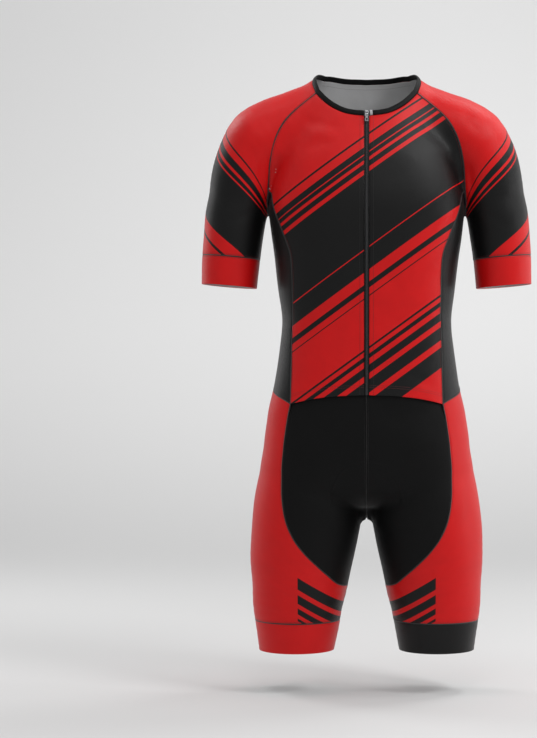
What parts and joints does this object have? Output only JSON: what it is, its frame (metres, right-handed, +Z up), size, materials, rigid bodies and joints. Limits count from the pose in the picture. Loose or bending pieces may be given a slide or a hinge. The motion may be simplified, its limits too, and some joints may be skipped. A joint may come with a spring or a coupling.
{
  "type": "cycling jersey with joined shorts",
  "caption": "Short-sleeved cycling jersey with a full front zip, sewn at its sides and back to cycling shorts, filled out as if worn.",
  "frame": {"origin": "between the shoulders on the suit's middle plane, where the wearer's shoulders hold it up", "axes": "+Z up towards the neck, -Y the front with the zip, +X the wearer's left"},
  "size_m": [0.568, 0.2423, 0.9902],
  "materials": {
    "red_cloth": "smooth printed knit with a slight sheen",
    "black_cloth": "dense black stretch knit with a slight sheen",
    "zip_tape": "woven black tape with a black coil",
    "zip_metal": "bright plated metal",
    "tab_metal": "grey plated metal"
  },
  "bodies": {
    "suit": {"front_left": "red_cloth", "front_right": "red_cloth", "back": "red_cloth", "sleeve_left": "red_cloth", "sleeve_right": "red_cloth", "cuff_left": "red_cloth", "cuff_right": "red_cloth", "shorts_side_left": "red_cloth", "shorts_side_right": "red_cloth", "leg_band_right": "red_cloth", "side_left": "black_cloth", "side_right": "black_cloth", "collar": "black_cloth", "shorts_front_left": "black_cloth", "shorts_front_right": "black_cloth", "shorts_back_left": "black_cloth", "shorts_back_right": "black_cloth", "leg_band_left": "black_cloth", "zip": "zip_tape", "slider": "zip_metal"},
    "pull_tab": {"pull_tab": "tab_metal"}
  },
  "joints": [
    {"name": "pull_tab_hinge", "type": "hinge", "parent": "suit", "child": "pull_tab", "pos_m": [0, -0.08876, -0.03152], "axis": [-1, 0, 0], "range_deg": [0, 150]}
  ]
}
